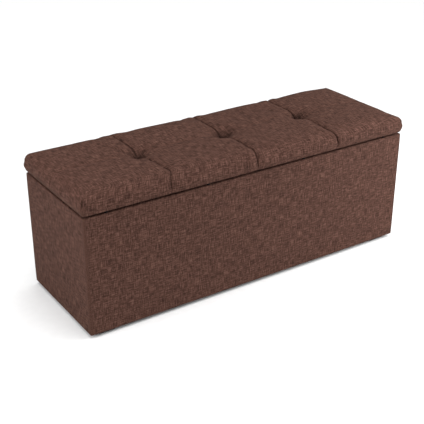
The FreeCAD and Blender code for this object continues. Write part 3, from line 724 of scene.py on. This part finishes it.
def lid_grid():
    """Points, outward normals, unfolded places (u, v, run) and faces of the plain lid cover."""
    half = np.array([lid_high.x, lid_high.y])
    x_lines = mesh_lines(half[0] - LID_TOP_R, tufts)
    y_lines = mesh_lines(half[1] - LID_TOP_R, [0.0])
    columns, rows = len(x_lines), len(y_lines)
    places = [(x, y, 0) for y in y_lines for x in x_lines]
    points = [(x, y, lid_high.z) for x, y, _ in places]
    normals = [(0, 0, 1)] * len(points)
    faces = [cell_face(i, j, columns) for j in range(rows - 1) for i in range(columns - 1)]
    before = grid_edge(columns, rows)
    count = len(before)
    inner = np.array([places[i][:2] for i in before])
    shares = inner / (half - LID_TOP_R)
    from_corner = np.max((1 - np.abs(shares)) * half, axis=1)
    squareness = LID_CORNER_FULL * fade_out(from_corner, 0, LID_CORNER_REACH)
    for inset, height, tilt, run in lid_profile(lid_low.z, lid_high.z)[1:]:
        fuller = squareness * CORNER_RISE * math.sin(2 * max(tilt, 0))
        flat, out = ring(shares, *half, inset - fuller, max(LID_CORNER_R - inset, 2 * MM))
        after = list(range(len(points), len(points) + count))
        points += [(x, y, height + more) for (x, y), more in zip(flat, fuller)]
        level, rise = math.cos(tilt), math.sin(tilt)
        normals += [(level * a, level * b, rise) for a, b in out]
        places += [(x + run * a, y + run * b, run) for (x, y), (a, b) in zip(inner, out)]
        for i in range(count):
            j = (i + 1) % count
            faces.append((before[i], after[i], after[j], before[j]))
        before = after
    points, places = np.array(points), np.array(places)
    points[:, 0] += seam_lean(places[:, 0], places[:, 1])
    return points, np.array(normals), places, faces


def simulate_cover(cover, pin_weights):
    """Puff the cover up with a light pressure, and give its points."""
    scene = bpy.context.scene
    pins = cover.vertex_groups.new(name="pins")
    for weight in np.unique(pin_weights):
        pins.add([int(i) for i in np.flatnonzero(pin_weights == weight)], float(weight), "REPLACE")
    cloth = cover.modifiers.new("cloth", "CLOTH")
    for setting, value in CLOTH_SETTINGS.items():
        setattr(cloth.settings, setting, value)
    cloth.settings.vertex_group_mass = pins.name
    cloth.settings.effector_weights.gravity = 0
    cloth.collision_settings.use_collision = False
    cloth.point_cache.frame_start = 1
    cloth.point_cache.frame_end = CLOTH_FRAMES
    for step in range(1, CLOTH_FRAMES + 1):
        scene.frame_set(step)
    bake_modifiers(cover)
    scene.frame_set(1)
    return coordinates(cover.data)


def soft_cap(moves, limit):
    """Moves, bent so that none is longer than the limit."""
    lengths = np.linalg.norm(moves, axis=1)
    return moves * (limit * np.tanh(lengths / limit) / np.maximum(lengths, 1e-9))[:, None]


def crease_depth(u, v):
    """Depth at (u, v) of the creases, deepest a third of the way along each."""
    depth = np.zeros_like(u)
    for crease in CREASES:
        u0, v0, u1, v1, deep, half_width = (size * MM for size in crease)
        du, dv = u1 - u0, v1 - v0
        length = math.hypot(du, dv)
        along = ((u - u0) * du + (v - v0) * dv) / length
        beside = (-(u - u0) * dv + (v - v0) * du) / length
        bend = 0.06 * length * np.sin(np.pi * np.clip(along / length, 0, 1))
        fade = smooth_step(along, -0.1 * length, 0.25 * length) * fade_out(along, 0.4 * length, 1.05 * length)
        depth += deep * fade * np.exp(-(((beside - bend) / half_width) ** 2))
    return depth


def groove_depth(u, v):
    """Depth of the sewn grooves, with the small puckers that the stitches pull up."""
    depth = np.zeros_like(u)
    wander = 2 * lattice_noise(np.column_stack([u, v]), cell=0.03, seed=5)
    stitches = np.sin(v * 2 * math.pi / PUCKER_LENGTH + wander)
    for x in tufts:
        beside = np.abs(u - x)
        depth += SEAM_GROOVE * np.exp(-((beside / SEAM_GROOVE_WIDTH) ** 2))
        depth += PUCKER * np.exp(-beside / (9 * MM)) * smooth_step(beside, 0, 4 * MM) * stitches
    return depth * (1 - (1 - HEM_LEFT[1]) * smooth_step(np.abs(v) - lid_high.y, 20 * MM, 44 * MM))


def pit_folds(u, v):
    """Radial folds round each button."""
    depth = np.zeros_like(u)
    for index, x in enumerate(tufts):
        reach = np.hypot(u - x, v)
        angle = np.arctan2(v, u - x)
        fade = np.exp(-(((reach - 24 * MM) / (16 * MM)) ** 2))
        depth += PIT_FOLD * fade * np.cos(6 * angle + 1.3 * index + 0.6 * np.sin(3 * angle))
    return depth


def corner_pleats(points, run):
    """Depth of the short pleats and ridges at each of the lid's corners."""
    core = np.array([lid_high.x - LID_CORNER_R, lid_high.y - LID_CORNER_R])
    past = np.abs(points[:, :2]) - core
    angle = np.degrees(np.arctan2(np.maximum(past[:, 1], 0), np.maximum(past[:, 0], 0)))
    at_corner = (past > 0).all(axis=1) & (np.linalg.norm(past, axis=1) > 9 * MM)
    fade = smooth_step(run, *PLEAT_START_RUNS) * fade_out(run, *PLEAT_END_RUNS)
    depth = np.zeros(len(points))
    for middle, deep in PLEATS:
        depth += deep * MM * np.exp(-(((angle - middle) / PLEAT_WIDTH) ** 2))
    return np.where(at_corner, depth * fade, 0)


def drawn_shape(flat, normals, places):
    """The plain cover's points with its crown, its uneven swell, and the seams and buttons drawn in."""
    u, v, run = places.T
    on_top = fade_out(run, 0, LID_TOP_R * math.pi / 2)
    swell = LID_SWELL * lattice_noise(places[:, :2], cell=0.11, seed=3) * fade_out(run, *SWELL_RUNS)
    lift = crown_height(u) * on_top + swell
    shape = flat + normals * (lift - drawn_depth(u, v) * fade_out(run, *DRAWN_RUNS))[:, None]
    shape[:, 2] = np.maximum(shape[:, 2], lid_low.z)
    return shape


def puffed_cover(shape, normals, places, faces):
    """The cover, started a little low in its open areas and puffed up by the simulation."""
    u, v, run = places.T
    beside, reach = from_tufts(u, v)
    open_cloth = smooth_step(beside, 0, 50 * MM) * smooth_step(reach, 15 * MM, 60 * MM)
    start = shape - normals * (PUFF_START * open_cloth * fade_out(run, *PUFF_RUNS))[:, None]
    held = (beside < 1 * MM) | (reach < BUTTON_HOLD_R) | (run > HELD_RUN)
    cover = make_object("lid_cover_fabric", start, faces, places)
    puffed = simulate_cover(cover, np.where(held, 1.0, CLOTH_HOLD))
    moves = soft_cap(puffed - start, PUFF_CAP)
    move_to(cover.data, start + moves * fade_out(run, *MOVE_RUNS)[:, None])
    return cover


def add_sewn_detail(cover):
    """Press in grooves, creases, folds and pleats, and store the painted shade that each puts in the cloth's
    colour.
    """
    points = coordinates(cover.data)
    u, v, run = get_vectors(cover.data, "weave").T
    reach = from_tufts(u, v)[1]
    grooves = groove_depth(u, v)
    creases = crease_depth(u, v)
    pleats = corner_pleats(points, run)
    open_cloth = smooth_step(reach, 10 * MM, 20 * MM) * fade_out(run, *DETAIL_RUNS)
    depth = (grooves + creases) * open_cloth + pit_folds(u, v) * fade_out(run, *PIT_FOLD_RUNS) + pleats
    move_to(cover.data, points - vertex_normals(cover.data) * depth[:, None])
    # painted shade: darker in grooves, creases and pleats and round each button's pit
    painted_pit_shade = np.exp(-((reach / (26 * MM)) ** 2))
    dark = grooves / (4 * MM) + creases / (11 * MM) + pleats / (3.2 * MM) + painted_pit_shade
    set_attribute(cover.data, "crease", np.clip(dark, 0, 1), "FLOAT")


def lid_cover(material):
    """Tufted cover: sewn cross seams, buttons drawn down into pits, puffed sections and a bulging border."""
    flat, normals, places, faces = lid_grid()
    shape = drawn_shape(flat, normals, places)
    cover = puffed_cover(shape, normals, places, faces)
    subdivide(cover)
    add_sewn_detail(cover)
    inner = inner_skin(cover)
    thicken(cover, COVER_T)
    finish_piece(cover, "lid", material, ["lid_cover"])
    return inner


# ---------------- foam pad
def inner_skin(cover):
    """The cover's points and faces before it has a thickness, for the foam under it."""
    points = coordinates(cover.data)
    normals = vertex_normals(cover.data)
    places = get_vectors(cover.data, "weave")
    faces = [tuple(p.vertices) for p in cover.data.polygons]
    return points, normals, places, faces


def inside_board(place, half):
    """The place, or the nearest one inside the board's rounded outline."""
    core = half - BOARD_CORNER_R
    middle = np.clip(place, -core, core)
    out = place - middle
    return middle + out * min(1.0, BOARD_CORNER_R / max(np.linalg.norm(out), 1e-9))


def foam_pad(skin, material):
    """Foam that fills the cover down to the board's edge, closed by the pocket that holds the board."""
    points, normals, places, faces = skin
    board_low, board_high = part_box("lid_board")
    keep = places[:, 2] < LID_TOP_R * math.pi / 2 + FOAM_RUN
    index = np.cumsum(keep) - 1
    inner = (points - normals * (COVER_T + FOAM_GAP))[keep]
    inner[:, 2] = np.maximum(inner[:, 2], board_low.z)
    faces = [tuple(index[i] for i in f) for f in faces if all(keep[i] for i in f)]
    rim = open_rim(faces)
    half = np.array([board_high.x, board_high.y]) + POCKET_GAP
    pocket = [inside_board(place, half) for place in inner[rim, :2]]
    extra = []
    before = rim
    for level in (board_low.z + FOAM_FOOT, board_high.z + POCKET_TOP):
        start = len(inner) + len(extra)
        after = list(range(start, start + len(rim)))
        extra += [(*place, level) for place in pocket]
        for i in range(len(rim)):
            j = (i + 1) % len(rim)
            faces.append((before[i], before[j], after[j], after[i]))
        before = after
    faces.append(tuple(before))
    pad = make_object("lid_foam_pad", np.vstack([inner, extra]), faces)
    tidy_normals(pad.data)
    finish_piece(pad, "lid", material, ["lid_foam"])


def open_rim(faces):
    """Vertices once round the only open edge of some faces, in order."""
    uses = {}
    for face in faces:
        for a, b in zip(face, face[1:] + face[:1]):
            key = (int(min(a, b)), int(max(a, b)))
            uses[key] = uses.get(key, 0) + 1
    following = {}
    for a, b in (key for key, used in uses.items() if used == 1):
        following.setdefault(a, []).append(b)
        following.setdefault(b, []).append(a)
    first = min(following)
    found = [first, following[first][0]]
    while found[-1] != first:
        found += [i for i in following[found[-1]] if i != found[-2]][:1]
    return found[:-1]


def tidy_normals(mesh):
    """Make every face look outward."""
    work = bmesh.new()
    work.from_mesh(mesh)
    bmesh.ops.recalc_face_normals(work, faces=work.faces)
    work.to_mesh(mesh)
    work.free()
    mesh.update()


# ---------------- buttons
def button_outline(low, high, radius):
    """(distance out, height) from the dome's top down and in underneath."""
    found = []
    for a in np.linspace(0.12, 1, 9) * math.pi / 2:
        found.append((radius * math.sin(a) ** 0.8, low + (high - low) * (0.45 + 0.55 * math.cos(a))))
    for share, level in ((1.0, 0.3), (0.94, 0.12), (0.8, 0), (0.4, 0)):
        found.append((radius * share, low + (high - low) * level))
    return found


def covered_button(name, material):
    """Cloth-covered button: a dome with the gathers of its cloth round the rim."""
    low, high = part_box(f"button_{name}")
    radius = (high.x - low.x) / 2
    count = BUTTON_TURNS
    angles = np.linspace(0, 2 * math.pi, count, endpoint=False)
    around = np.column_stack([np.cos(angles), np.sin(angles)])
    outline = button_outline(low.z, high.z, radius)
    rings = []
    for level, (reach, z) in enumerate(outline):
        gather = GATHER * smooth_step(reach / radius, 0.7, 1.0) * np.cos(18 * angles + level * 0.05)
        rings.append(at_height(around * (reach * (1 + gather))[:, None], z))
    points = np.vstack([[(0, 0, high.z)], *rings, [(0, 0, low.z)]])
    weave = points * (1, 1, 0)
    points[:, :2] += ((low.x + high.x) / 2, (low.y + high.y) / 2)
    bottom = len(points) - 1
    last = bottom - count
    faces = [(0, 1 + i, 1 + (i + 1) % count) for i in range(count)]
    for first in range(1, last, count):
        faces += band_faces(first, first + count, count)
    faces += [(bottom, last + (i + 1) % count, last + i) for i in range(count)]
    button = make_object(f"button_{name}_covered", points, faces, weave)
    tidy_normals(button.data)
    # painted shade: the whole button is darkened as if it lay in its pit's shade
    set_attribute(button.data, "crease", np.full(len(points), PAINTED_BUTTON_SHADE), "FLOAT")
    finish_piece(button, "lid", material, [f"button_{name}"])


# ---------------- linings
def rounded_path(corners, step, radius):
    """Points about a step apart along a closed run of straight edges, with small arcs at its corners."""
    found = []
    count = len(corners)
    for i in range(count):
        before, here, after = (Vector(corners[(i + k) % count]) for k in (-1, 0, 1))
        start = here + (before - here).normalized() * radius
        stop = here + (after - here).normalized() * radius
        for share in (0.0, 0.25, 0.5, 0.75, 1.0):
            found.append(start.lerp(here, share).lerp(here.lerp(stop, share), share))
        far = Vector(corners[(i + 1) % count])
        far = far + (here - far).normalized() * radius
        span = (far - stop).length
        parts = max(1, round(span / step))
        found += [stop.lerp(far, k / parts) for k in range(1, parts)]
    return np.array([tuple(p) for p in found])


def notched_corners(half_x, half_y, notch):
    """Corners of a rectangle with a square notch at each of its corners, counterclockwise."""
    found = []
    for sx, sy in ((-1, -1), (1, -1), (1, 1), (-1, 1)):
        long_way = (sx * (half_x - notch), sy * half_y)
        inner = (sx * (half_x - notch), sy * (half_y - notch))
        short_way = (sx * half_x, sy * (half_y - notch))
        found += [long_way, inner, short_way] if sx * sy < 0 else [short_way, inner, long_way]
    return found


def post_notch(high):
    """Side of the square that a post takes out of a lining's corner."""
    return high.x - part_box("corner_post_front_right")[0].x + LINING_CLEARANCE


def wall_lining(material):
    """Thin lining down the four walls and round the posts, hemmed along its top edge."""
    low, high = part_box("lining_walls")
    corners = notched_corners(high.x, high.y, post_notch(high))
    path = rounded_path(corners, FLAT_CELL, LINING_BEND_R)
    count = len(path)
    ahead = np.roll(path, -1, axis=0) - np.roll(path, 1, axis=0)
    ahead /= np.linalg.norm(ahead, axis=1)[:, None]
    inward = np.column_stack([-ahead[:, 1], ahead[:, 0]])
    travel = travelled(path)
    to_corner = np.min([np.linalg.norm(path - np.array(c), axis=1) for c in corners], axis=0)
    hem = high.z - LINING_HEM
    levels = [low.z, *spaced(low.z + 6 * MM, hem - 2 * MM, FLAT_CELL)]
    levels += [hem - 1 * MM, hem, high.z - 1.5 * MM, high.z]
    rows, weave, faces = [], [], []
    for z in levels:
        place = at_height(travel, z)
        loose = smooth_step(z, low.z, low.z + 50 * MM) * fade_out(z, high.z - 70 * MM, high.z - 10 * MM)
        large = lattice_noise(place, cell=0.12, seed=21)
        small = lattice_noise(place * (1, 0.4), cell=0.035, seed=22)
        wave = smooth_step(to_corner, 10 * MM, 80 * MM) * loose * (0.6 + 0.5 * large + 0.25 * small)
        hem_rise = HEM_RISE if z > hem - HEM_RISE else 0.0
        shift = LINING_WAVE * wave + hem_rise
        rows.append(at_height(path + inward * shift[:, None], z))
        weave.append(at_height(place, 0))
    for row in range(len(levels) - 1):
        faces += band_faces((row + 1) * count, row * count, count)
    lining = thick_sheet("wall_lining_cloth", np.vstack(rows), faces, np.vstack(weave), LINING_T)
    finish_piece(lining, "box", material, ["lining_walls"])


def sheet_lines(half, notch):
    """Mesh lines across a sheet, with close pairs at its edges and notches that keep them square."""
    inner = half - notch
    sides = {half, half - EDGE_CELL, inner - EDGE_CELL}
    found = [*spaced(-inner, inner, FLAT_CELL), *sides, *(-x for x in sides)]
    return np.unique(np.round(found, 6))


def flat_sheet(name, node, thickness, shape, notch=0.0, reach=0.0):
    """Rectangle of cloth in a CAD sheet's place, or reaching further, moved up or down by shape(x, y)."""
    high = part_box(node)[1]
    half_x, half_y = high.x + reach, high.y + reach
    x_lines, y_lines = sheet_lines(half_x, notch), sheet_lines(half_y, notch)
    x, y = (grid.ravel() for grid in np.meshgrid(x_lines, y_lines))
    faces = []
    for j, middle_y in enumerate((y_lines[1:] + y_lines[:-1]) / 2):
        for i, middle_x in enumerate((x_lines[1:] + x_lines[:-1]) / 2):
            at_post = half_x - abs(middle_x) < notch and half_y - abs(middle_y) < notch
            if not at_post:
                faces.append(cell_face(i, j, len(x_lines)))
    used, numbers = np.unique(np.array(faces), return_inverse=True)
    x, y = x[used], y[used]
    points = np.column_stack([x, y, high.z + shape(x, y)])
    return thick_sheet(name, points, numbers.reshape(-1, 4), np.column_stack([x, y, 0 * x]), thickness)


def uneven(x, y, cell, seed):
    return lattice_noise(np.column_stack([x, y]), cell, seed)


def floor_lining(material):
    """Thin lining on the bottom board, cut out round the posts."""
    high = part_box("lining_floor")[1]

    def shape(x, y):
        inside = smooth_step(high.x - np.abs(x), 0, 50 * MM) * smooth_step(high.y - np.abs(y), 0, 50 * MM)
        return FLOOR_SWELL * inside * (0.5 + 0.5 * uneven(x, y, cell=0.1, seed=31))

    notch = post_notch(high)
    lining = flat_sheet("floor_lining_cloth", "lining_floor", LINING_T, shape, notch, LINING_CLEARANCE)
    finish_piece(lining, "box", material, ["lining_floor"])


def dust_cover(material):
    """Black cloth stapled under the box. It hangs a little between the feet."""
    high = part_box("dust_cover")[1]
    foot_low, foot_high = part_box("foot_front_right")

    def shape(x, y):
        held = np.minimum(high.x - np.abs(x), high.y - np.abs(y)) - 12 * MM
        beside_foot = np.maximum(foot_low.x - np.abs(x), -foot_high.y - np.abs(y))
        free = smooth_step(held, 0, 120 * MM) * smooth_step(beside_foot, 0, 80 * MM)
        return -DUST_COVER_SAG * free * (0.7 + 0.3 * uneven(x, y, cell=0.09, seed=41))

    cover = flat_sheet("dust_cover_cloth", "dust_cover", DUST_COVER_T, shape)
    finish_piece(cover, "box", material, ["dust_cover"])


def lid_lining(material):
    """Black cloth stapled under the lid, with a little slack between its staples."""
    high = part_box("lid_lining")[1]

    def shape(x, y):
        edge = np.minimum(high.x - np.abs(x), high.y - np.abs(y))
        free = smooth_step(edge, 30 * MM, 100 * MM)
        slack = -LID_LINING_SAG * free * (0.6 + 0.4 * uneven(x, y, cell=0.1, seed=51))
        pucker = np.sin((x + y) * 2 * math.pi / STAPLE_PITCH) * fade_out(edge, STAPLED, STAPLED * 1.4)
        return slack + np.minimum(STAPLE_PUCKER * pucker, 0)

    lining = flat_sheet("lid_lining_cloth", "lid_lining", LINING_T, shape)
    finish_piece(lining, "lid", material, ["lid_lining"])


# ---------------- carried-over CAD pieces
def paint_cad_nodes():
    """Give every CAD node that stays the material of its slot in the record."""
    kinds = {
        "board": chipboard(),
        "post": pine(),
        "foot_plastic": plastic(),
        "bumper_rubber": rubber(),
        "twine": twine(),
        "zinc_steel": plated("zinc_plate", ZINC, 0.28, 0.5),
        "staple_steel": plated("staple_wire", STAPLE, 0.22, 0.42),
        "yellow_zinc": plated("yellow_zinc_plate", YELLOW_ZINC, 0.25, 0.45),
    }
    slots = {s["node"]: s["material_slot"] for s in frame["record"]["subparts"]}
    for name, item in nodes.items():
        if slots[name] in kinds:
            item.data.materials.clear()
            item.data.materials.append(kinds[slots[name]])


# ---------------- floor, light and camera
def studio_floor():
    """Large pale floor."""
    points = [(FLOOR_HALF * x, FLOOR_HALF * y, 0) for x, y in ((-1, -1), (1, -1), (1, 1), (-1, 1))]
    floor = make_object("studio_floor", points, [(0, 1, 2, 3)])
    m = Material("pale_floor")
    speckle = m.noise(m.place(), 40, detail=2)
    colour = m.ramp(speckle, ((0.3, (0.8, 0.8, 0.8)), (0.7, (0.82, 0.82, 0.82))))
    floor.data.materials.append(m.finish(colour, m.ranged(speckle, 0.8, 0.9), speckle, 0.1 * MM, 0.1))


def add_light(name, kind, energy, rotation):
    data = bpy.data.lights.new(name, kind)
    data.energy = energy
    light = bpy.data.objects.new(name, data)
    light.rotation_euler = rotation
    bpy.context.scene.collection.objects.link(light)
    return light


def studio_light():
    """Even sky, a broad soft light from above, and a softbox on either side."""
    world = bpy.data.worlds.new("studio")
    world.use_nodes = True
    background = world.node_tree.nodes["Background"]
    background.inputs["Color"].default_value = (1, 1, 1, 1)
    background.inputs["Strength"].default_value = WORLD_STRENGTH
    bpy.context.scene.world = world
    bpy.context.scene.view_settings.view_transform = "Standard"
    for name, place, target, size, power in SOFTBOXES:
        look = Vector(target) - Vector(place)
        light = add_light(name, "AREA", power, look.to_track_quat("-Z", "Y").to_euler())
        light.location = place
        light.data.shape = "RECTANGLE"
        light.data.size, light.data.size_y = size
    sky = add_light("sky_softbox", "SUN", SUN_STRENGTH, [math.radians(a) for a in SUN_TILT])
    sky.data.angle = math.radians(SUN_WIDTH)


def studio_camera():
    azimuth, elevation = math.radians(CAMERA_AZIMUTH), math.radians(CAMERA_ELEVATION)
    level = Vector((math.sin(azimuth), -math.cos(azimuth), 0))
    back = level * math.cos(elevation) + Vector((0, 0, math.sin(elevation)))
    data = bpy.data.cameras.new("camera")
    data.lens = CAMERA_LENS
    data.sensor_width = 36
    camera = bpy.data.objects.new("camera", data)
    camera.location = Vector(CAMERA_TARGET) + back * CAMERA_DISTANCE
    camera.rotation_euler = (-back).to_track_quat("-Z", "Y").to_euler()
    bpy.context.scene.collection.objects.link(camera)
    bpy.context.scene.camera = camera


# ---------------- the bench
cloth = upholstery()
lining_cloth = nonwoven("spunbond_lining")
dust_cloth = nonwoven("spunbond_dust_cover")
body_cover(cloth)
pad_skin = lid_cover(cloth)
foam_pad(pad_skin, foam())
for button_name in BUTTONS:
    covered_button(button_name, cloth)
wall_lining(lining_cloth)
floor_lining(lining_cloth)
lid_lining(lining_cloth)
dust_cover(dust_cloth)
paint_cad_nodes()
studio_floor()
studio_light()
studio_camera()
